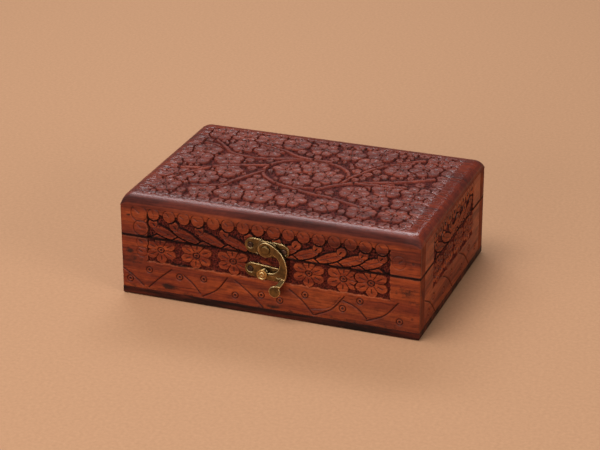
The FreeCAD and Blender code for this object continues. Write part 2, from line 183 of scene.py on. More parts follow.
def curve_through(places, pieces=8):
    """Points of a smooth curve through the places."""
    places = np.array(places, float)
    ends = [2 * places[0] - places[1], *places, 2 * places[-1] - places[-2]]
    points = []
    for before, first, last, after in zip(ends, ends[1:], ends[2:], ends[3:]):
        for t in np.arange(pieces) / pieces:
            points.append(
                first
                + 0.5 * t * (last - before)
                + t * t * (before - 2.5 * first + 2 * last - 0.5 * after)
                + t ** 3 * (1.5 * (first - last) + 0.5 * (after - before))
            )
    points.append(places[-1])
    return points


def blurred(values, reach):
    """Each value's mean over a square of its neighbours."""
    shifts = range(-reach, reach + 1)
    for axis in (0, 1):
        values = sum(np.roll(values, shift, axis) for shift in shifts) / len(shifts)
    return values


class CarvedFace:
    """A board's outer face as a grid: the ground cut away, what stands on it, and scored lines."""

    def __init__(self, along, across, depth, moat=SIDE_MOAT, wall_shade=SIDE_WALL_SHADE, lip=1.0):
        self.along = along
        self.across = across
        self.depth = depth
        self.moat = moat
        self.wall_shade = wall_shade
        self.lip = lip
        self.notch = {}
        shape = (len(along), len(across))
        self.field = np.zeros(shape)
        self.raised = np.zeros(shape)
        self.cut = np.zeros(shape)
        self.recess = np.zeros(shape)
        self.edge = np.zeros(shape)
        self.stain_and_shade = np.zeros(shape)
        self.flank = np.zeros(shape)
        self.dull = np.zeros(shape)

    def window(self, u, v, reach_u, reach_v=None):
        """The part of the grid round a place, and its offsets from that place."""
        reach_v = reach_u if reach_v is None else reach_v
        first_u, last_u = np.searchsorted(self.along, [u - reach_u, u + reach_u])
        first_v, last_v = np.searchsorted(self.across, [v - reach_v, v + reach_v])
        part = np.s_[first_u:last_u, first_v:last_v]
        local = np.meshgrid(self.along[first_u:last_u], self.across[first_v:last_v], indexing="ij")
        return part, local[0] - u, local[1] - v

    def clear(self, low_u, high_u, low_v, high_v):
        """Cuts the ground away in a rectangle with hand-cut edges."""
        u, v = np.meshgrid(self.along, self.across, indexing="ij")
        wobble_v = 0.25 * np.sin(0.7 * u) + 0.15 * np.sin(1.9 * u + 1.0)
        wobble_u = 0.25 * np.sin(0.8 * v) + 0.15 * np.sin(2.1 * v + 2.0)
        outside_u = np.maximum(low_u - u, u - high_u) + wobble_u
        outside_v = np.maximum(low_v - v, v - high_v) + wobble_v
        self.field = np.maximum(self.field, inside(np.maximum(outside_u, outside_v)))

    def stand(self, part, outline, height, joined=False):
        """Leaves a shape standing.

        Unless it is joined, a clean moat is cut round it through what stood there before.
        """
        if not joined:
            self.raised[part] *= 1.0 - inside(outline - self.moat)
        self.raised[part] = np.maximum(self.raised[part], inside(outline) * height)

    def score(self, part, depth):
        self.cut[part] = np.maximum(self.cut[part], depth)

    def darken(self, part, stain_and_shade):
        self.stain_and_shade[part] = np.maximum(self.stain_and_shade[part], stain_and_shade)

    def heights(self):
        """Heights of the finished face, 0 at the plain wood and negative where it is cut."""
        stipple = blurred(chance.random(self.field.shape), 1) - 0.5
        ground = self.depth * self.field * (1.0 + STIPPLE * stipple)
        sunk = np.maximum(ground - self.raised, 0.0)
        self.recess = np.clip(sunk / self.depth, 0.0, 1.0)
        relief = -sunk - self.cut * (1.0 - 0.7 * self.recess)
        # The edge attribute paints light and shade: steep walls and hollows darker as painted shade,
        # raised rims lighter as wear and painted highlight.
        slope_u, slope_v = np.gradient(relief, self.along, self.across)
        steep = smooth(np.hypot(slope_u, slope_v) - 0.5)
        field_rise = np.gradient(self.field, self.across, axis=1)
        ledge = smooth(field_rise / 0.8) * smooth(1.4 - 2.0 * self.recess)
        # Painted highlight on the up-facing ledge along the field's lower border
        lip = self.lip * ledge
        bulge = (relief - blurred(relief, 2)) / self.depth
        self.edge = (bulge - self.wall_shade * steep) * (1.0 - lip) + LIP_HIGHLIGHT * lip
        return relief


# Carved motifs


def pit(face, part, distance, radius):
    """A round hole pricked with a punch."""
    hole = inside(distance - radius, 0.6)
    face.score(part, 0.8 * hole)
    face.darken(part, hole)


def bud(face, u, v, radius, slit, outline=OUTLINE_DEPTH, joined=False, slit_depth=SLIT_DEPTH, dot=0.0):
    """A round boss with a short slit, a scored outline and perhaps a pit.

    It is cut free, unless it is joined to what it grows on.
    """
    part, du, dv = face.window(u, v, radius + MOTIF_MARGIN)
    reach = np.hypot(du, dv)
    face.stand(part, reach - radius, face.depth * BUD_RISE - 0.12 * (reach / radius) ** 2, joined)
    slit_length = 0.62 * radius
    tip = (slit_length * cos(slit), slit_length * sin(slit))
    from_slit, _ = run_distance(du, dv, (0.0, 0.0), tip)
    face.score(part, slit_depth * inside(from_slit - 0.3, SCORE_EDGE))
    face.score(part, outline * inside(np.abs(reach - radius) - 0.22, SCORE_EDGE))
    if dot:
        pit(face, part, reach, dot)


def rosette(face, u, v, radius, petals, turn, tall, fullness, scooped=False, dot=0.0):
    """A flower round a ring and a dot, with a shallow scoop, a pit or a slit in each petal."""
    part, du, dv = face.window(u, v, radius + MOTIF_MARGIN, radius * tall + MOTIF_MARGIN)
    dv = dv / tall
    reach = np.hypot(du, dv)
    spacing = 2 * pi / petals
    angle = (np.arctan2(dv, du) - turn + spacing / 2) % spacing - spacing / 2
    forward = reach * np.cos(angle)
    aside = reach * np.sin(angle)
    beside = reach * np.sin(spacing / 2 - np.abs(angle))
    petal_middle = 0.6 * radius
    half_length = 0.42 * radius
    half_width = fullness * 0.6 * radius * np.tan(spacing / 2)
    petal = (np.hypot((forward - petal_middle) / half_length, aside / half_width) - 1.0) * half_width
    heart = reach - 0.36 * radius
    hollow = 0.4 * smooth(1.0 - reach / petal_middle)
    height = face.depth * MOTIF_RISE - hollow - 0.1 * (aside / half_width) ** 2
    face.stand(part, np.minimum(petal, heart), height)
    if scooped:
        scoop = np.hypot((forward - 0.62 * radius) / (0.24 * radius), aside / (0.13 * radius))
        face.score(part, 0.34 * smooth(1.0 - scoop))
    elif dot:
        pit(face, part, np.hypot(forward - 0.64 * radius, aside), dot)
    else:
        from_slit, _ = run_distance(forward, aside, (0.45 * radius, 0.0), (0.74 * radius, 0.0))
        face.score(part, 0.5 * inside(from_slit - 0.36, SCORE_EDGE))
    between = 0.75 * inside(beside - 0.16, SCORE_EDGE)
    face.score(part, between * inside(0.3 * radius - reach) * inside(reach - radius))
    face.score(part, 0.7 * inside(np.abs(reach - 0.2 * radius) - 0.035 * radius, SCORE_EDGE))
    face.score(part, 0.8 * inside(reach - 0.075 * radius, SCORE_EDGE))


def leaf(face, start, end, half_width):
    """A pointed leaf with a scored vein."""
    middle = (np.array(start) + end) / 2
    length = np.hypot(*np.subtract(end, start))
    part, du, dv = face.window(*middle, length / 2 + half_width + 1.0)
    distance, share = run_distance(du, dv, np.subtract(start, middle), np.subtract(end, middle))
    width = half_width * 1.9 * np.sqrt(share + 0.02) * (1.0 - share) ** 0.75
    face.stand(part, distance - width, face.depth * MOTIF_RISE - 0.35 * (distance / half_width) ** 2)
    face.score(part, 0.4 * inside(distance - 0.16, 0.45) * (share > 0.15) * (share < 0.8))


def sprig(face, u, lean, height, dot=0.0):
    """A bud on a broad leaf that leans along the rail, with a small lobe under it."""
    leaf(face, (u + 11.0 * lean, 41.0), (u - 1.5 * lean, 37.0), 2.2)
    leaf(face, (u - 0.6 * lean, height - 1.6), (u + 16.4 * lean, 38.0), 3.3)
    bud(face, u, height, 2.9, radians(270 + 40 * lean), joined=True, dot=dot)


def stem(face, places, first_width, last_width):
    """A rounded stem through the places: its way is cleared first, and then it is left standing."""
    points = curve_through(places)
    widths = np.linspace(first_width, last_width, len(points))
    runs = list(zip(points, points[1:], widths, widths[1:]))
    for clearing in (True, False):
        for first, last, start_width, end_width in runs:
            middle = (first + last) / 2
            reach = np.hypot(*(last - first)) / 2 + start_width + MOTIF_MARGIN
            part, du, dv = face.window(*middle, reach)
            distance, share = run_distance(du, dv, first - middle, last - middle)
            width = start_width + (end_width - start_width) * share
            if clearing:
                face.raised[part] *= 1.0 - inside(distance - width - face.moat)
            else:
                ridge = face.depth * MOTIF_RISE - 0.3 * (distance / width) ** 2
                face.raised[part] = np.maximum(face.raised[part], inside(distance - width) * ridge)


def ring_dot(face, u, v):
    part, du, dv = face.window(u, v, RING_DOT_RADIUS + 1.0)
    reach = np.hypot(du, dv)
    face.score(part, 0.5 * inside(np.abs(reach - RING_DOT_RADIUS) - 0.3, SCORE_EDGE))
    face.score(part, 0.8 * inside(reach - 0.65, 0.6))


def scored_line(face, start, end, bow, depth=LINE_DEPTH):
    """A thin curved line, bowed to the left of its run."""
    run = np.subtract(end, start)
    middle = (np.array(start) + end) / 2 + bow * np.array([-run[1], run[0]])
    points = curve_through([start, middle, end], 6)
    for first, last in zip(points, points[1:]):
        centre = (first + last) / 2
        part, du, dv = face.window(*centre, np.hypot(*(last - first)) / 2 + 1.0)
        distance, _ = run_distance(du, dv, first - centre, last - centre)
        face.score(part, depth * np.clip(1.15 - distance / 0.5, 0.0, 1.0))


def pin_mark(face, u, v):
    """The filled hole over the head of a sunk panel pin."""
    part, du, dv = face.window(u, v, PIN_MARK_RADIUS + 1.0)
    mark = inside(np.hypot(du, dv) - PIN_MARK_RADIUS, SCORE_EDGE)
    face.darken(part, 0.42 * mark)
    face.score(part, 0.08 * mark)


def knot(face, u, v, length, width, strength=1.0):
    """A dark smear in the grain."""
    part, du, dv = face.window(u, v, 2.2 * length, 2.2 * width)
    face.darken(part, strength * np.exp(-(du / length) ** 2 - (dv / width) ** 2))


def scallops(face, first, last, fixed, count, radius, slit, upright=False, slit_depth=SLIT_DEPTH, dot=0.0):
    """A row of round bosses along a border, none quite like the next."""
    for place in np.linspace(first, last, count):
        place = place + chance.uniform(-0.35, 0.35)
        u, v = (fixed, place) if upright else (place, fixed)
        size = radius * chance.uniform(0.94, 1.05)
        bud(face, u, v, size, slit + chance.uniform(-0.4, 0.4), slit_depth=slit_depth, dot=dot)


def fill_with_buds(face, low_u, high_u, low_v, high_v, tries):
    """Small bosses wherever the ground between the flowers is still bare."""
    for radius in np.linspace(3.6, 1.1, tries):
        u = chance.uniform(low_u, high_u)
        v = chance.uniform(low_v, high_v)
        part, du, dv = face.window(u, v, radius + 0.4)
        if face.raised[part][np.hypot(du, dv) < radius + 0.1].max() < 0.3 * face.depth:
            bud(face, u, v, radius, chance.uniform(0.0, 2 * pi))


# The carving of each board


def carve_lid_front(face):
    scallop_height = 51.7
    face.clear(-72.8, 71.5, LID_LOW - FIELD_OVERRUN, scallop_height)
    sprigs = [(u, 1) for u in (-69.0, -56.2, -40.9, -25.9, -11.0)]
    sprigs = sprigs + [(u, -1) for u in (67.2, 56.2, 43.5, 29.5, 17.2, 5.5)]
    for u, lean in sprigs:
        sprig(face, u, lean, 46.2)
    scallops(face, -68.4, 66.6, scallop_height, 16, 3.8, radians(130), slit_depth=FAINT_SLIT)
    bud(face, -77.4, 51.4, 5.0, radians(140), slit_depth=FAINT_SLIT)
    bud(face, -76.6, 42.4, 4.6, radians(140), slit_depth=FAINT_SLIT)
    bud(face, 76.6, 45.4, 3.9, radians(40), 0.25, slit_depth=FAINT_SLIT)
    knot(face, -84.0, 49.5, 1.6, 0.7)


FRONT_LINES = (
    ((-88.4, 16.0), (-75.9, 6.6), 0.03),
    ((-72.8, 6.0), (-58.4, 19.1), 0.02),
    ((-50.3, 16.6), (-40.9, 7.3), 0.05),
    ((-39.6, 5.6), (-24.0, 19.8), -0.09),
    ((-19.6, 19.1), (-2.8, 5.0), 0.03),
    ((12.9, 19.1), (27.3, 5.6), 0.05),
    ((27.9, 5.6), (45.4, 19.8), -0.10),
    ((44.8, 17.3), (58.5, 8.5), 0.10),
    ((58.5, 7.3), (76.6, 21.0), -0.10),
)
FRONT_DOTS = (
    (-84.3, 9.8), (-72.1, 17.0), (-53.4, 15.4), (-38.6, 16.6), (-19.6, 9.8), (-3.8, 12.5),
    (7.3, 11.0), (22.3, 17.0), (44.4, 12.3), (54.5, 18.5), (77.5, 9.8),
)
FRONT_KNOTS = (
    (-60.3, 8.2, 5.0, 2.2), (-83.4, 27.3, 2.6, 1.3), (4.0, 6.6, 6.0, 1.5), (-52.0, 22.6, 10.0, 0.7),
    (84.0, 27.0, 16.0, 7.0, 0.5), (-84.0, 22.0, 12.0, 5.0, 0.4),
)


def carve_base_front(face):
    face.clear(-72.8, 71.6, 22.4, BASE_HIGH + FIELD_OVERRUN)
    for u in (-64.6, -42.8, -20.5, 24.5, 44.8, 60.8):
        radius = 9.9 + chance.uniform(-0.3, 0.3)
        turn = radians(30 + chance.uniform(-5, 5))
        rosette(face, u, 30.4, radius, 6, turn, 0.82, SIDE_FULLNESS)
    leaf(face, (-4.0, 33.6), (6.5, 29.0), 1.8)
    for u, v, radius in ((-76.0, 33.6, 3.6), (-76.4, 27.8, 3.2)):
        bud(face, u, v, radius, radians(150), 0.35)
    for start, end, bow in FRONT_LINES:
        scored_line(face, start, end, bow)
    scored_line(face, (26.0, 9.0), (43.5, 19.6), -0.16, 0.25)
    for u, v in FRONT_DOTS:
        ring_dot(face, u, v)
    for smear in FRONT_KNOTS:
        knot(face, *smear)


END_FIELD = (-38.0, 39.5)
END_DOTS = (
    (-37.0, 16.0), (-45.5, 10.0), (-17.5, 11.0), (-2.5, 15.4), (18.1, 9.7), (33.1, 15.4), (46.0, 11.0),
)


def carve_lid_end(face):
    scallop_height = 51.6
    face.clear(*END_FIELD, LID_LOW - FIELD_OVERRUN, scallop_height)
    for u, lean in ((-33.0, 1), (-19.5, 1), (-6.0, 1), (34.5, -1), (21.5, -1), (8.5, -1)):
        sprig(face, u, lean, 45.6, END_PIT)
    scallops(face, -34.0, 36.0, scallop_height, 9, 3.9, radians(130), slit_depth=FAINT_SLIT, dot=END_PIT)
    face.dull -= END_SHINE * face.field


def carve_base_end(face):
    face.clear(*END_FIELD, 21.4, BASE_HIGH + FIELD_OVERRUN)
    for u in (-29.0, -9.5, 11.0, 30.5):
        rosette(face, u, 29.4, 9.8, 6, radians(30), 0.84, SIDE_FULLNESS, dot=END_PIT)
    for start in (-53.0, -19.4, 13.7):
        scored_line(face, (start, 20.4), (start + 19.6, 5.4), 0.07)
    for u, v in END_DOTS:
        ring_dot(face, u, v)
    face.dull -= END_SHINE * face.field


def carve_lid_back(face):
    for u in np.linspace(-72.0, 72.0, 10):
        ring_dot(face, u, 48.5)
    for start in np.linspace(-80.0, 64.0, 10):
        scored_line(face, (start, 43.0), (start + 16.0, 43.0), 0.12)


def carve_base_back(face):
    for centre in (-64.0, -32.0, 0.0, 32.0, 64.0):
        scored_line(face, (centre - 16.0, 26.5), (centre, 8.0), 0.06)
        scored_line(face, (centre, 8.0), (centre + 16.0, 26.5), 0.06)
        ring_dot(face, centre, 21.0)
        ring_dot(face, centre - 10.5, 11.0)


TOP_FLOWERS = (
    (-69.4, 46.3), (-54.3, 45.6), (-39.2, 45.0), (-22.3, 44.4), (-3.6, 41.9), (14.2, 39.4),
    (31.2, 45.6), (67.2, 45.9), (-50.7, 31.3), (-33.8, 30.0), (-69.4, 19.4), (-51.6, 8.8),
    (-70.3, 5.0), (-45.4, -7.5), (-56.1, -20.6), (-71.2, -22.5), (-71.2, -38.1), (-48.1, -39.4),
    (-32.0, -36.3), (-15.1, -35.0), (3.6, -34.4), (24.0, -35.6), (65.0, -36.3), (48.1, -21.3),
    (50.7, -3.8), (67.6, -3.1), (48.1, 27.5), (28.5, 30.0), (66.8, -18.8), (62.3, 32.5),
    (-23.1, -21.3), (33.8, -13.1), (46.3, -38.1), (-13.4, 6.3), (0.9, 13.8), (12.5, 2.5), (-3.6, -7.5),
)
RING_CENTRE = (-1.5, 3.8)
RING_HALF_WIDTH = 25.5
RING_HALF_HEIGHT = 20.5
TOP_BUDS = (
    (-34.0, 0.8, 3.0), (-39.6, 12.0, 3.0), (38.6, -5.0, 2.8), (20.6, -18.0, 2.9), (-3.6, -24.4, 2.9),
    (32.4, 14.4, 3.2), (42.0, 14.6, 2.8), (-26.4, -9.6, 2.6), (36.0, 20.6, 2.8), (-62.0, 12.0, 2.4),
    (-62.6, -30.0, 2.6), (57.0, 22.6, 2.8), (-60.0, 36.8, 2.4), (-9.6, 32.6, 2.6), (20.0, 25.6, 2.8),
    (57.6, -28.6, 2.6), (36.0, -24.0, 2.4), (-42.6, -22.0, 2.6), (-28.4, 15.4, 2.4), (-74.0, 33.0, 2.6),
)
TOP_STEMS = (
    ((-75.2, 29.8), (-64.0, 26.6), (-51.5, 18.4), (-34.0, 17.2), (-19.0, 21.9), (-6.5, 25.4), (6.0, 25.2)),
    ((-43.0, 38.2), (-26.5, 33.4), (-15.2, 27.2), (-6.5, 25.4)),
    ((-70.0, 35.0), (-64.0, 29.6), (-57.5, 23.0)),
    ((-27.0, 8.8), (-39.0, 4.2), (-51.5, -0.8), (-60.2, -7.5), (-72.8, -10.8)),
    ((-57.8, -5.8), (-66.0, -16.5), (-75.2, -30.0)),
    ((-26.0, 0.2), (-32.4, -11.0), (-37.8, -21.0), (-40.9, -31.0)),
    ((-39.0, -26.0), (-47.0, -31.4), (-56.5, -33.8)),
    ((12.0, -15.4), (20.0, -6.6), (29.8, 0.4), (46.0, 7.0), (56.0, 11.8), (70.5, 21.0)),
    ((24.0, 5.4), (27.4, 13.0), (34.6, 26.5), (43.5, 36.0), (57.0, 46.0)),
    ((40.6, 33.4), (50.0, 37.6), (52.6, 40.4)),
    ((-11.5, -15.6), (8.5, -22.0), (23.5, -24.6), (36.0, -28.8), (43.6, -31.4)),
    ((30.0, 0.4), (40.0, 1.0), (58.6, 3.6)),
)
MARGIN_STREAKS = 19


def oval_ring():
    """Places round the oval in the middle of the top."""
    places = []
    for angle in np.linspace(0.0, 2 * pi, 13):
        u = RING_CENTRE[0] + RING_HALF_WIDTH * cos(angle)
        v = RING_CENTRE[1] + RING_HALF_HEIGHT * sin(angle)
        places.append((u, v))
    return places


def streak_margin(face, field_end):
    """Dark streaks and a sharper shine on the plain margin at the right."""
    for row in range(MARGIN_STREAKS):
        u = 82.0 + 3.0 * sin(2.0 * row)
        v = -55.0 + 6.0 * row + 1.6 * sin(3.0 * row)
        length = 6.0 + 2.0 * sin(2.3 * row)
        knot(face, u, v, length, 0.7, 0.52 + 0.14 * sin(5.0 * row))
    past_scallops = smooth((face.along - field_end - 3.2) / 2.5)
    face.dull -= MARGIN_SHINE * past_scallops[:, None]


def carve_top(face):
    low_u, high_u, low_v, high_v = -79.0, 75.0, -50.6, 53.6
    face.clear(low_u, high_u, low_v, high_v)
    for v, slit in ((low_v, radians(90)), (high_v, radians(-90))):
        scallops(face, low_u + 3.4, high_u - 3.0, v, 19, 3.9, slit)
    for u, slit in ((low_u, 0.0), (high_u, pi)):
        scallops(face, low_v + 5.0, high_v - 5.0, u, 12, 3.9, slit, True)
    for u, v, radius in TOP_BUDS:
        bud(face, u, v, radius, chance.uniform(0.0, 2 * pi))
    for u, v in TOP_FLOWERS:
        petals = 5 if chance.random() < 0.4 else 6
        radius = chance.uniform(8.8, 9.9)
        turn = chance.uniform(0.0, pi)
        rosette(face, u, v, radius, petals, turn, 1.0, TOP_FULLNESS, scooped=True)
    stem(face, oval_ring(), 1.15, 1.15)
    for places in TOP_STEMS:
        stem(face, places, 1.0, 1.3)
    fill_with_buds(face, low_u, high_u, low_v, high_v, 2600)
    streak_margin(face, high_u)


# Boards as closed meshes


def lines(low, high, step, edge):
    """Grid lines from low to high, closer together in the eased edge."""
    near = [0.0, 0.12 * edge, 0.35 * edge, 0.65 * edge, edge]
    count = max(2, round((high - low - 2 * edge) / step))
    inner = np.linspace(low + edge, high - edge, count + 1)
    return np.array(sorted({*(low + d for d in near), *inner, *(high - d for d in near)}))


def eased(distance, radius):
    """How far a rounded edge lies below the face, by the distance from the edge."""
    gap = np.clip(radius - distance, 0.0, radius)
    return radius - np.sqrt(radius * radius - gap * gap)


def edge_drop(values, radius):
    return eased(np.minimum(values - values[0], values[-1] - values), radius)


def new_object(name, points, quads, caps, attributes, flat_map):
    """A mesh object from numpy arrays: quads first, then two many-sided caps."""
    mesh = bpy.data.meshes.new(name)
    corners = np.concatenate([quads.ravel(), *caps]).astype(np.int32)
    sizes = np.concatenate([np.full(len(quads), 4), [len(cap) for cap in caps]])
    starts = np.concatenate([[0], np.cumsum(sizes)[:-1]]).astype(np.int32)
    mesh.vertices.add(len(points))
    mesh.vertices.foreach_set("co", (points * MM).astype(np.float32).ravel())
    mesh.loops.add(len(corners))
    mesh.loops.foreach_set("vertex_index", corners)
    mesh.polygons.add(len(starts))
    mesh.polygons.foreach_set("loop_start", starts)
    mesh.polygons.foreach_set("use_smooth", np.ones(len(starts), bool))
    mesh.update(calc_edges=True)
    for label, values in attributes.items():
        attribute = mesh.attributes.new(label, "FLOAT", "POINT")
        attribute.data.foreach_set("value", values.astype(np.float32).ravel())
    layer = mesh.uv_layers.new(name="OFBake")
    layer.data.foreach_set("uv", flat_map.astype(np.float32).ravel())
    mesh.validate()
    mesh.set_sharp_from_angle(angle=radians(38))
    thing = bpy.data.objects.new(name, mesh)
    bpy.context.scene.collection.objects.link(thing)
    return thing


def board_map(along, v, w, count_v, caps):
    """A flat map of a board: its strips one above another, then its two ends.

    The face's strips are as wide as their outline, and the others follow the girth.
    """
    gap = 1.0
    loop = v.shape[1]
    steps_v = np.abs(np.diff(np.append(v[0], v[0, 0])))
    steps_w = np.abs(np.diff(np.append(w[0], w[0, 0])))
    steps = np.where(np.arange(loop) < count_v - 1, steps_v, np.hypot(steps_v, steps_w))
    girth = np.concatenate([[0.0], np.cumsum(steps)[:-1]])
    low = girth + gap * np.maximum(np.arange(loop) - count_v + 2, 0)
    high = low + steps
    span = along - along[0]
    quads = np.zeros((len(along) - 1, loop, 4, 2))
    quads[..., 0, 0] = quads[..., 3, 0] = span[:-1, None]
    quads[..., 1, 0] = quads[..., 2, 0] = span[1:, None]
    quads[..., 0, 1] = quads[..., 1, 1] = low
    quads[..., 2, 1] = quads[..., 3, 1] = high
    top = high[-1] + gap
    ends = []
    for cap in caps:
        end = cap[0] // loop
        rows = cap % loop
        ends.append(np.stack([v[end, rows] - v.min(), w[end, rows] - w.min() + top], -1))
        top += np.ptp(w) + gap
    flat = np.concatenate([quads.reshape(-1, 2), *ends])
    return flat / max(span[-1] + gap, top, np.ptp(v) + gap)


def board_attributes(face, rim_rows):
    """What the wood's material reads at each point. The rim counts as plain wood of the upright strip."""
    scored = np.clip(face.cut / 0.5, 0.0, 1.0)
    unscored = 1.0 - np.clip(face.cut / 0.15, 0.0, 1.0)
    matt = FIELD_MATT * face.field * unscored + RECESS_MATT * face.recess
    matt = matt + FLANK_MATT * np.minimum(face.flank, 1.0) + face.dull
    on_face = {"recess": face.recess, "edge": face.edge, "scored": scored}
    on_face.update({"stain_and_shade": face.stain_and_shade, "flank": face.flank, "matt": matt})
    on_rim = {"flank": SIDE_STRIP, "matt": FLANK_MATT}
    attributes = {}
    for label, values in on_face.items():
        rim = np.full((len(values), rim_rows), on_rim.get(label, 0.0))
        attributes[label] = np.concatenate([values, rim], 1)
    return attributes


def board(name, face, heights, rim, place):
    """A closed board: the carved face, then the rim's rows round the edges and the inner side."""
    count_u = len(face.along)
    count_v = len(face.across)
    loop = count_v + len(rim)
    u = np.repeat(face.along[:, None], loop, 1)
    v = np.zeros((count_u, loop))
    w = np.zeros((count_u, loop))
    v[:, :count_v] = face.across
    w[:, :count_v] = heights
    for row, (rim_v, rim_w) in enumerate(rim):
        v[:, count_v + row] = rim_v
        w[:, count_v + row] = rim_w
    v[:, 0] += face.notch.get("low", 0.0)
    v[:, count_v - 1] -= face.notch.get("high", 0.0)
    index = np.arange(count_u * loop).reshape(count_u, loop)
    following = np.roll(index, -1, 1)
    quads = np.stack([index[:-1], index[1:], following[1:], following[:-1]], -1).reshape(-1, 4)
    caps = [index[0], index[-1][::-1]]
    flat_map = board_map(face.along, v, w, count_v, caps)
    points = place(u.ravel(), v.ravel(), w.ravel())
    return new_object(name, points, quads, caps, board_attributes(face, len(rim)), flat_map)


def notched_lines(along, across, notch):
    """Grid lines with a step at each side of the hinge mortises and none inside their depth."""
    sides = [hinge + half for hinge in (-HINGE_X, HINGE_X) for half in (-MORTISE_HALF, MORTISE_HALF)]
    steps = [side + shift for side in sides for shift in (-MORTISE_STEP, MORTISE_STEP)]
    away = np.min(np.abs(along[:, None] - sides), 1) > 0.12
    along = np.array(sorted([*along[away], *steps]))
    from_edge = across[-1] - across if notch == "high" else across - across[0]
    across = across[(from_edge > MORTISE_DEPTH + EASED_EDGE) | (from_edge == 0.0)]
    return along, across


def side_face(long, body, notch):
    """A side board's uncarved face, with the hinge notches and pin marks of the long boards."""
    low, high = (BASE_LOW, BASE_HIGH) if body == "base" else (LID_LOW, RAIL_HIGH)
    half = HALF_LENGTH if long else HALF_INNER_DEPTH
    along = lines(-half, half, CARVING_STEP, CORNER_ROUND if long else EASED_EDGE)
    across = lines(low, high, CARVING_STEP, EASED_EDGE)
    if not long:
        return CarvedFace(along, across, END_CARVING_DEPTH, lip=END_LIP)
    if notch:
        along, across = notched_lines(along, across, notch)
    face = CarvedFace(along, across, SIDE_CARVING_DEPTH)
    if notch:
        from_hinge = np.abs(np.abs(along) - HINGE_X)
        face.notch[notch] = np.where(from_hinge < MORTISE_HALF, MORTISE_DEPTH, 0.0)
    for u in (-PIN_X, PIN_X):
        for v in BASE_PIN_HEIGHTS if body == "base" else (LID_PIN_HEIGHT,):
            pin_mark(face, u, v)
    return face


def side_rim(face):
    """The rows behind a side board's face, from its upper edge round to its lower one."""
    low, high = face.across[[0, -1]]
    high_edge = high - face.notch.get("high", 0.0)
    low_edge = low + face.notch.get("low", 0.0)
    rim = [(high, -WALL), (low, -WALL)]
    behind_mortise = -MORTISE_REACH - MORTISE_STEP
    if "high" in face.notch:
        rim = [(high_edge, -MORTISE_REACH), (high, behind_mortise)] + rim
    if "low" in face.notch:
        rim = rim + [(low, behind_mortise), (low_edge, -MORTISE_REACH)]
    behind_carving = -DEEPEST_CUT - 0.1
    return [(high_edge, behind_carving)] + rim + [(low_edge, behind_carving)]


def age_side(face, body):
    """Painted shade along the seam, a darker band along the foot, and a painted highlight on the base's
    lip just under the seam.
    """
    low, high = face.across[[0, -1]]
    seam = high if body == "base" else low
    # Painted shade of the gap between the base and the lid
    shade_and_foot_dark = bell(face.across - seam, SEAM_SHADE_WIDTH)
    face.dull += SEAM_DULL * shade_and_foot_dark
    face.edge -= SEAM_SHADE * shade_and_foot_dark
    shade_and_foot_dark = np.maximum(shade_and_foot_dark, face.recess * bell(face.across - seam, SEAM_SHADOW))
    # Darker towards the foot of the base
    if body == "base":
        shade_and_foot_dark = np.maximum(shade_and_foot_dark, FOOT_DARKNESS * bell(face.across - low, FOOT_DARK_WIDTH))
        # Painted highlight on the base's upper edge just under the seam
        lip = bell(face.across - high + SEAM_LIP, SEAM_LIP_WIDTH)
        face.edge = np.maximum(face.edge, LIP_HIGHLIGHT * lip * (1.0 - face.recess))
    face.stain_and_shade = np.maximum(face.stain_and_shade, shade_and_foot_dark)


def side_board(name, face, place, long, body):
    """One wall or rail, in place of its plain node. A rail's upper edge stays sharp under the top."""
    across_drop = edge_drop(face.across, EASED_EDGE)
    if body == "lid":
        across_drop[face.across > face.across[-1] - 2 * EASED_EDGE] = 0.0
    along_drop = edge_drop(face.along, CORNER_ROUND if long else EASED_EDGE)
    heights = face.heights() - np.maximum(along_drop[:, None], across_drop)
    heights = np.maximum(heights, -DEEPEST_CUT)
    age_side(face, body)
    piece = board("carved_" + name, face, heights, side_rim(face), place)
    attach(piece, body)
    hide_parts(name)
    return piece


def place_front(u, v, w):
    return np.stack([u, -HALF_DEPTH - w, v], -1)


def place_back(u, v, w):
    return np.stack([-u, HALF_DEPTH + w, v], -1)


def place_right(u, v, w):
    return np.stack([HALF_LENGTH + w, u, v], -1)


def place_left(u, v, w):
    return np.stack([-HALF_LENGTH - w, -u, v], -1)


def place_top(u, v, w):
    return np.stack([u, v, TOP_HIGH + w], -1)


def quarter_round(distance):
    """Drop of the top's rounded-over edge, by the distance from the outside."""
    share = 1.0 - np.clip(distance / TOP_ROUND_IN, 0.0, 1.0)
    return TOP_ROUND_DOWN * (1.0 - np.sqrt(1.0 - share * share))


def top_lines(half):
    """Grid lines across the top panel, closer together towards its rounded edge."""
    turn = TOP_ROUND_IN * (1.0 - np.cos(np.linspace(0.0, pi / 2, 12)))
    count = round(2 * (half - TOP_ROUND_IN) / TOP_STEP)
    inner = np.linspace(-half + TOP_ROUND_IN, half - TOP_ROUND_IN, count + 1)
    return np.array(sorted({*(-half + turn[:-1]), *inner, *(half - turn[:-1])}))


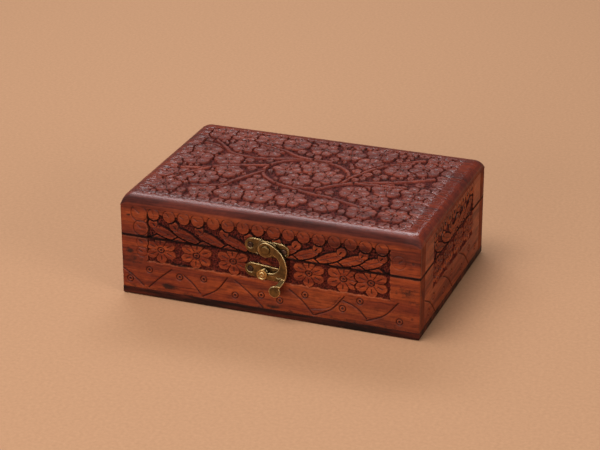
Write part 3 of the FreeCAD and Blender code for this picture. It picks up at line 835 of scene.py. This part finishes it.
def top_board():
    """The lid's top: carved, and rounded over down to an upright strip."""
    along = top_lines(HALF_LENGTH)
    across = top_lines(HALF_DEPTH)
    face = CarvedFace(along, across, TOP_CARVING_DEPTH, TOP_MOAT, TOP_WALL_SHADE, 0.0)
    carve_top(face)
    from_end = np.minimum(along - along[0], along[-1] - along)[:, None] * TOP_ROUND_IN / TOP_END_ROUND_IN
    from_side = np.minimum(across - across[0], across[-1] - across)[None, :]
    drop = quarter_round(from_end) + quarter_round(from_side)
    past_strip = np.maximum(drop - TOP_ROUND_DOWN, 0.0)
    drop = drop - past_strip + CORNER_FALL * np.tanh(past_strip / CORNER_FALL)
    at_end = smooth(0.5 + (from_side - from_end) / 4.0)
    # The flank share darkens the rounding as painted shade, less at the ends
    face.flank = smooth((drop - 0.1) / 1.5) * (1.0 - 0.55 * at_end)
    face.flank[[0, -1], :] = SIDE_STRIP
    face.flank[:, [0, -1]] = SIDE_STRIP
    heights = face.heights() - drop
    # Painted highlight on the upright strip, brightest at its upper edge
    face.edge = np.maximum(face.edge, STRIP_HIGHLIGHT * (face.flank == SIDE_STRIP))
    under = RAIL_HIGH - TOP_HIGH
    piece = board("carved_lid_top", face, heights, [(across[-1], under), (across[0], under)], place_top)
    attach(piece, "lid")
    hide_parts("lid_top_panel")
    return piece


def make_boards():
    """The nine carved boards, by the way their grain runs."""
    pieces = {"long": [], "end": [], "top": [top_board()]}
    layouts = (
        ("base_front_wall", carve_base_front, place_front, "base", None),
        ("lid_front_rail", carve_lid_front, place_front, "lid", None),
        ("base_back_wall", carve_base_back, place_back, "base", "high"),
        ("lid_back_rail", carve_lid_back, place_back, "lid", "low"),
        ("base_left_wall", carve_base_end, place_left, "base", None),
        ("lid_left_rail", carve_lid_end, place_left, "lid", None),
        ("base_right_wall", carve_base_end, place_right, "base", None),
        ("lid_right_rail", carve_lid_end, place_right, "lid", None),
    )
    for name, carve, place, body, notch in layouts:
        long = place in (place_front, place_back)
        face = side_face(long, body, notch)
        carve(face)
        pieces["long" if long else "end"].append(side_board(name, face, place, long, body))
    return pieces


# Materials

PLAIN_SCALE = (1.0, 1.0, 1.0)
WHITE = (1.0, 1.0, 1.0, 1.0)


def tint(red, green, blue):
    """A colour given in the 0 to 255 of a picture, as Blender's linear values."""
    channels = []
    for value in (red, green, blue):
        share = value / 255.0
        channels.append(share / 12.92 if share <= 0.04045 else ((share + 0.055) / 1.055) ** 2.4)
    return (*channels, 1.0)


# Dark colour for stains, pits and the darker foot, and for the painted shade of the seam
DARK_STAIN_AND_SHADE = tint(28, 11, 8)


class Nodes:
    """A short way to build a material's node tree."""

    def __init__(self, name):
        self.material = bpy.data.materials.new(name)
        self.material.use_nodes = True
        self.tree = self.material.node_tree
        self.shader = self.tree.nodes["Principled BSDF"]

    def feed(self, socket, value):
        """Links a socket to another node's output, or sets its value."""
        if isinstance(value, bpy.types.NodeSocket):
            self.tree.links.new(value, socket)
        else:
            socket.default_value = value

    def add(self, kind, inputs=None, **settings):
        node = self.tree.nodes.new(kind)
        for key, value in settings.items():
            setattr(node, key, value)
        for key, value in (inputs or {}).items():
            self.feed(node.inputs[key], value)
        return node

    def set(self, **inputs):
        for key, value in inputs.items():
            self.feed(self.shader.inputs[key.replace("_", " ")], value)

    def places(self, scale=PLAIN_SCALE):
        where = self.add("ShaderNodeTexCoord").outputs["Object"]
        return self.add("ShaderNodeMapping", {"Vector": where, "Scale": scale}).outputs["Vector"]

    def noise(self, vector, scale, detail, roughness, distortion=0.0):
        inputs = {"Vector": vector, "Scale": scale, "Detail": detail}
        inputs.update({"Roughness": roughness, "Distortion": distortion})
        return self.add("ShaderNodeTexNoise", inputs).outputs["Fac"]

    def ramp(self, fac, stops):
        node = self.add("ShaderNodeValToRGB", {"Fac": fac})
        elements = node.color_ramp.elements
        while len(elements) < len(stops):
            elements.new(0.5)
        for element, (position, colour) in zip(elements, stops):
            element.position = position
            element.color = colour
        return node.outputs["Color"]

    def mix(self, fac, first, second, kind="MIX"):
        """Mixes two colours. The colour sockets share their names, so they are found by number."""
        inputs = {0: fac, 6: first, 7: second}
        return self.add("ShaderNodeMix", inputs, data_type="RGBA", blend_type=kind).outputs[2]

    def span(self, value, low, high, to_low, to_high):
        inputs = {"Value": value, "From Min": low, "From Max": high, "To Min": to_low, "To Max": to_high}
        return self.add("ShaderNodeMapRange", inputs).outputs["Result"]

    def math(self, operation, *values):
        return self.add("ShaderNodeMath", dict(enumerate(values)), operation=operation).outputs["Value"]

    def attribute(self, name):
        return self.add("ShaderNodeAttribute", attribute_name=name).outputs["Fac"]


def along_grain(grain, share):
    """The scale of a pattern that is drawn out along the grain."""
    scale = list(PLAIN_SCALE)
    scale[grain] = share
    return scale


def banded(nodes, bands, tones):
    return nodes.ramp(bands, [(0.30, tones["dark"]), (0.46, tones["middle"]), (0.66, tones["light"])])


def band_colour(nodes, bands, tones, flank, strip):
    """The grain's bands, with darker tones on the top's rounding as painted shade where it turns from the
    light, and tones of their own on the strip below it.
    """
    colour = banded(nodes, bands, tones)
    if flank:
        share = nodes.attribute("flank")
        colour = nodes.mix(nodes.span(share, 0.0, 1.0, 0.0, 1.0), colour, banded(nodes, bands, flank))
        on_strip = nodes.span(share, 1.0, SIDE_STRIP, 0.0, 1.0)
        colour = nodes.mix(on_strip, colour, banded(nodes, bands, strip))
    return colour


def carved_colour(nodes, colour, tones, mottle):
    """Darkens the sunk ground, paints shade into hollows, steep walls and scored lines, adds the stains
    with the seam's painted shade, and lightens raised rims and ledges with wear and painted highlight.
    """
    punches = nodes.noise(nodes.places(), 1000.0, 2.0, 0.6)
    punched = nodes.ramp(punches, [(0.38, tones["ground"]), (0.62, tones["raw"])])
    colour = nodes.mix(nodes.span(nodes.attribute("recess"), 0.25, 0.75, 0.0, 0.92), colour, punched)
    # Raised rims and ledges, where edge is above zero, are lightened: wear and painted highlight
    edge = nodes.attribute("edge")
    colour = nodes.mix(nodes.span(edge, 0.08, 0.4, 0.0, 0.45), colour, tones["worn"])
    # Painted shade: steep walls and hollows, where edge is below zero, are darkened
    colour = nodes.mix(nodes.span(edge, -0.04, -0.28, 0.0, 0.92), colour, tint(30, 9, 8))
    # Painted shade in the scored lines and scoops
    scored = nodes.span(nodes.attribute("scored"), 0.15, 0.9, 0.0, 0.85)
    colour = nodes.mix(scored, colour, tint(46, 15, 11))
    # Stains, pits, the darker foot and the seam's painted shade
    ragged = nodes.math("MULTIPLY_ADD", mottle, 2.0, nodes.attribute("stain_and_shade"))
    return nodes.mix(nodes.span(ragged, 1.3, 1.8, 0.0, 0.9), colour, DARK_STAIN_AND_SHADE)


def end_grain_colour(nodes, colour, end_grain):
    """Tints the boards' sawn ends, and paints the shade of the seam between the base and the lid across
    them.
    """
    where = nodes.add("ShaderNodeTexCoord")
    facing = nodes.add("ShaderNodeSeparateXYZ", {"Vector": where.outputs["Normal"]}).outputs["X"]
    facing = nodes.math("ABSOLUTE", facing)
    colour = nodes.mix(nodes.span(facing, 0.75, 0.95, 0.0, 0.55), colour, end_grain)
    height = nodes.add("ShaderNodeSeparateXYZ", {"Vector": where.outputs["Object"]}).outputs["Z"]
    # Painted shade of the seam on the sawn ends
    at_seam = nodes.math("COMPARE", height, SEAM_HEIGHT * MM, END_SEAM * MM)
    seam = nodes.math("MULTIPLY", at_seam, nodes.span(facing, 0.75, 0.95, 0.0, 0.9))
    return nodes.mix(seam, colour, DARK_STAIN_AND_SHADE)


def wood(name, grain, tones, gloss=0.45, shine=0.22, flank=None, strip=None, end_grain=None):
    """Oiled rosewood with its grain along one axis: 0 for the length, 1 for the depth."""
    nodes = Nodes(name)
    slow = nodes.places(along_grain(grain, 0.09))
    bands = nodes.noise(slow, 150.0, 5.0, 0.62, 0.6)
    patches = nodes.noise(slow, 62.0, 3.0, 0.5, 0.5)
    fibres = nodes.noise(nodes.places(along_grain(grain, 0.035)), 1500.0, 3.0, 0.6)
    figure = nodes.noise(nodes.places(along_grain(grain, 0.18)), 640.0, 4.0, 0.65, 0.4)
    mottle = nodes.noise(nodes.places(), 300.0, 4.0, 0.65)
    colour = band_colour(nodes, bands, tones, flank, strip)
    colour = nodes.mix(nodes.span(patches, 0.55, 0.75, 0.0, 0.35), colour, tones["brown"])
    streaks = nodes.ramp(fibres, [(0.34, (0.58, 0.48, 0.46, 1.0)), (0.50, WHITE)])
    colour = nodes.mix(0.75, colour, streaks, "MULTIPLY")
    stops = [(0.32, (0.50, 0.42, 0.40, 1.0)), (0.47, WHITE), (0.68, (1.18, 1.2, 1.2, 1.0))]
    colour = nodes.mix(0.8, colour, nodes.ramp(figure, stops), "MULTIPLY")
    spots = nodes.ramp(mottle, [(0.3, (0.74, 0.70, 0.68, 1.0)), (0.6, (1.1, 1.1, 1.1, 1.0))])
    colour = nodes.mix(0.8, colour, spots, "MULTIPLY")
    colour = carved_colour(nodes, colour, tones, mottle)
    if end_grain:
        colour = end_grain_colour(nodes, colour, end_grain)
    rough = nodes.span(bands, 0.3, 0.7, gloss + 0.08, gloss - 0.05)
    rough = nodes.math("ADD", rough, nodes.attribute("matt"))
    relief = nodes.mix(0.5, fibres, figure)
    bump = nodes.add("ShaderNodeBump", {"Strength": 0.4, "Distance": 0.0003, "Height": relief})
    nodes.set(Base_Color=colour, Roughness=rough, Normal=bump.outputs["Normal"], Specular_IOR_Level=shine)
    return nodes.material


def worn_colour(nodes, colour, rounded, worn):
    """Rubs a metal bright where the rounded normal leaves the plain one, and darkens its corners with
    patina and painted shade.
    """
    plain = nodes.add("ShaderNodeNewGeometry").outputs["Normal"]
    agree = nodes.add("ShaderNodeVectorMath", {0: rounded, 1: plain}, operation="DOT_PRODUCT")
    colour = nodes.mix(nodes.span(agree.outputs["Value"], 0.985, 0.82, 0.0, 1.0), colour, worn)
    # Patina and painted shade where nearby surfaces close in
    corners = nodes.add("ShaderNodeAmbientOcclusion", {"Distance": METAL_PATINA_AND_SHADE_REACH * MM}, samples=8)
    patina_and_shade = nodes.span(corners.outputs["AO"], 0.45, 0.85, 0.85, 0.0)
    return nodes.mix(patina_and_shade, colour, tint(30, 22, 15))


def metal(name, bright, dull, low, high, edge=HINGE_EDGE, worn=None):
    """A metal mottled between two colours and two roughnesses, and rubbed bright at its edges when a
    colour for them is given.
    """
    nodes = Nodes(name)
    patches = nodes.noise(nodes.places(), 260.0, 5.0, 0.65)
    specks = nodes.noise(nodes.places(), 1820.0, 3.0, 0.6)
    colour = nodes.ramp(patches, [(0.38, dull), (0.66, bright)])
    rough = nodes.span(patches, 0.3, 0.7, high, low)
    rounded = nodes.add("ShaderNodeBevel", {"Radius": edge * MM}, samples=8).outputs["Normal"]
    if worn:
        colour = worn_colour(nodes, colour, rounded, worn)
    inputs = {"Strength": 0.2, "Distance": 0.0001, "Height": specks, "Normal": rounded}
    bump = nodes.add("ShaderNodeBump", inputs)
    nodes.set(Base_Color=colour, Roughness=rough, Metallic=1.0, Normal=bump.outputs["Normal"])
    return nodes.material


def velvet():
    nodes = Nodes("velvet_pile")
    pile = nodes.noise(nodes.places(), 2600.0, 3.0, 0.7)
    crush = nodes.noise(nodes.places(along_grain(1, 0.6)), 55.0, 4.0, 0.6, 0.8)
    colour = nodes.ramp(crush, [(0.35, tint(84, 10, 20)), (0.62, tint(126, 22, 34))])
    shade = nodes.ramp(pile, [(0.3, (0.5, 0.4, 0.4, 1.0)), (0.6, WHITE)])
    colour = nodes.mix(0.5, colour, shade, "MULTIPLY")
    bump = nodes.add("ShaderNodeBump", {"Strength": 0.5, "Distance": 0.0003, "Height": pile})
    nodes.set(Base_Color=colour, Roughness=0.9, Normal=bump.outputs["Normal"])
    nodes.set(Sheen_Weight=0.7, Sheen_Roughness=0.35, Sheen_Tint=tint(226, 120, 130))
    return nodes.material


def paper_floor():
    nodes = Nodes("floor_paper")
    specks = nodes.noise(nodes.places(), 500.0, 4.0, 0.6)
    colour = nodes.ramp(specks, [(0.3, tint(206, 155, 116)), (0.7, tint(217, 166, 126))])
    nodes.set(Base_Color=colour, Roughness=0.85)
    return nodes.material


def finish_boards(pieces):
    """Gives the boards their wood, redder and shinier on top than on the sides."""
    # The last tone in each set goes on raised rims and ledges, as wear and painted highlight
    sides = dict(
        light=tint(152, 67, 29), middle=tint(113, 41, 18), dark=tint(72, 21, 11), brown=tint(78, 40, 24),
        ground=tint(34, 8, 7), raw=tint(104, 37, 28), worn=tint(190, 108, 70),
    )
    top = dict(
        light=tint(146, 58, 32), middle=tint(122, 42, 23), dark=tint(88, 29, 17), brown=tint(82, 32, 20),
        ground=tint(40, 9, 9), raw=tint(116, 46, 41), worn=tint(130, 57, 41),
    )
    # A darker copy of the top's wood for its rounding: painted shade where the rounding turns from the
    # light
    flank = dict(light=tint(96, 34, 20), middle=tint(70, 22, 14), dark=tint(46, 14, 9))
    strip = dict(light=tint(138, 60, 23), middle=tint(101, 36, 13), dark=tint(70, 21, 9))
    finishes = {
        "long": wood("wood_along", 0, sides, end_grain=tint(98, 48, 28)),
        "end": wood("wood_across", 1, sides),
        "top": wood("wood_top", 0, top, gloss=0.24, shine=0.42, flank=flank, strip=strip),
    }
    for way, boards in pieces.items():
        for piece in boards:
            piece.data.materials.append(finishes[way])


def dress(node, finish, bevel=0.0):
    """Gives a node its finish, and its sharp edges a small rounding."""
    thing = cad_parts[node]
    thing.data.materials.clear()
    thing.data.materials.append(finish)
    if bevel:
        weld = thing.modifiers.new("weld", "WELD")
        weld.merge_threshold = 0.000002
        rounding = thing.modifiers.new("rounding", "BEVEL")
        rounding.width = bevel * MM
        rounding.segments = 2
        rounding.limit_method = "ANGLE"
        rounding.angle_limit = radians(40)
        rounding.harden_normals = True


def finish_fittings():
    rubbed = tint(255, 224, 164)
    bronze = metal("antique_bronze", tint(136, 106, 66), tint(82, 64, 40), 0.26, 0.4, LATCH_EDGE, rubbed)
    stud = metal("stud_bronze", tint(190, 148, 84), tint(140, 104, 58), 0.24, 0.34, LATCH_EDGE, rubbed)
    brass = metal("hinge_brass", tint(206, 170, 96), tint(150, 116, 60), 0.3, 0.45)
    steel = metal("pin_steel", tint(96, 84, 78), tint(48, 38, 34), 0.4, 0.55)
    black = metal("black_nails", tint(104, 80, 66), tint(54, 42, 36), 0.36, 0.5)
    dark_tones = dict(
        light=tint(92, 34, 20), middle=tint(34, 11, 7), dark=tint(10, 4, 3), brown=tint(24, 9, 7),
        ground=tint(20, 8, 6), raw=tint(46, 15, 9), worn=tint(64, 22, 14),
    )
    dark = wood("wood_dark", 0, dark_tones, shine=0.14)
    parts = ("base_leaf", "lid_leaf", "pin")
    hinges = [f"hinge_{side}_{part}" for side in ("left", "right") for part in parts]
    groups = (
        (bronze, 0.18, ("latch_plate", "keeper_plate", "latch_hook")),
        (bronze, 0.12, ("latch_pivot_rivet",)),
        (stud, 0.12, ("keeper_stud",)),
        (black, 0.1, ("latch_plate_nails", "keeper_nails")),
        (brass, 0.12, hinges),
        (brass, 0.08, ("hinge_base_screws", "hinge_lid_screws")),
        (steel, 0.0, ("base_wall_pins", "lid_wall_pins", "bottom_pins")),
        (dark, 0.3, ("bottom_board",)),
    )
    for finish, bevel, nodes in groups:
        for node in nodes:
            dress(node, finish, bevel)


# Velvet linings


def lining(name, node, body, upward, finish):
    """A velvet pad, its pile side soft and its edges rolled under."""
    low, high = (np.array(corner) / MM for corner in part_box(node))
    along = lines(low[0], high[0], LINING_STEP, LINING_EDGE)
    across = lines(low[1], high[1], LINING_STEP, LINING_EDGE)
    face = CarvedFace(along, across, 1.0)
    u, v = np.meshgrid(along, across, indexing="ij")
    swell = 0.05 * np.sin(0.11 * u + 0.6) * np.sin(0.13 * v) + 0.04 * np.sin(0.31 * u - 0.2 * v)
    rolled = np.maximum(edge_drop(along, LINING_EDGE)[:, None], edge_drop(across, LINING_EDGE))
    heights = swell - 0.1 - rolled
    thick = high[2] - low[2]

    def place(u, v, w):
        if upward:
            return np.stack([u, v, high[2] + w], -1)
        return np.stack([-u, v, low[2] - w], -1)

    piece = board(name, face, heights, [(across[-1], -thick), (across[0], -thick)], place)
    piece.data.materials.append(finish)
    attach(piece, body)
    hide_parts(node)


# Floor, lights and camera, in metres


def make_floor():
    mesh = bpy.data.meshes.new("floor")
    reach = 4.0
    corners = [(-reach, -reach, 0.0), (reach, -reach, 0.0), (reach, reach, 0.0), (-reach, reach, 0.0)]
    mesh.from_pydata(corners, [], [(0, 1, 2, 3)])
    floor = bpy.data.objects.new("floor", mesh)
    bpy.context.scene.collection.objects.link(floor)
    mesh.materials.append(paper_floor())


def area_light(name, place, size, watts, colour, aim=(0.0, 0.0, 0.03)):
    light = bpy.data.lights.new(name, "AREA")
    light.shape = "RECTANGLE"
    light.size, light.size_y = size
    light.energy = watts
    light.color = colour
    thing = bpy.data.objects.new(name, light)
    thing.location = place
    thing.rotation_euler = (Vector(aim) - Vector(place)).to_track_quat("-Z", "Y").to_euler()
    bpy.context.scene.collection.objects.link(thing)


def make_lights():
    area_light("back_softbox", (-0.40, 0.86, 0.96), (1.0, 0.32), 5.8, (0.93, 0.96, 1.0))
    area_light("overhead", (-0.3, -0.3, 1.4), (0.8, 0.8), 10.0, (1.0, 0.98, 0.96))
    area_light("front_fill", (-0.35, -1.35, 0.36), (0.9, 0.6), 9.0, (1.0, 0.96, 0.92))
    area_light("side_fill", (1.3, -0.5, 0.5), (0.7, 0.6), 6.4, (1.0, 0.96, 0.92))
    world = bpy.data.worlds.new("studio")
    world.use_nodes = True
    inputs = world.node_tree.nodes["Background"].inputs
    inputs["Color"].default_value = (0.80, 0.76, 0.72, 1.0)
    inputs["Strength"].default_value = 0.16
    bpy.context.scene.world = world


def make_camera():
    """The camera fitted to the box's edges in the photo."""
    azimuth = radians(20.566)
    elevation = radians(23.949)
    roll = radians(-0.102)
    distance = 1.174
    aside = -0.00365
    above = 0.00303
    aim = Vector((0.0, 0.0, 0.0267))
    back = Vector((sin(azimuth) * cos(elevation), -cos(azimuth) * cos(elevation), sin(elevation)))
    right = Vector((cos(azimuth), sin(azimuth), 0.0))
    up = back.cross(right)
    data = bpy.data.cameras.new("camera")
    data.sensor_width = 36.0
    data.lens = 120.9
    camera = bpy.data.objects.new("camera", data)
    place = aim + distance * back + aside * right + above * up
    turned_right = cos(roll) * right + sin(roll) * up
    turned_up = cos(roll) * up - sin(roll) * right
    axes = Matrix((turned_right, turned_up, back)).transposed().to_4x4()
    camera.matrix_world = Matrix.Translation(place) @ axes
    bpy.context.scene.collection.objects.link(camera)
    bpy.context.scene.camera = camera


make_camera()
finish_boards(make_boards())
finish_fittings()
velvet_finish = velvet()
lining("floor_velvet", "floor_lining", "base", True, velvet_finish)
lining("lid_velvet", "lid_lining", "lid", False, velvet_finish)
make_floor()
make_lights()
bpy.context.scene.view_settings.view_transform = "Standard"
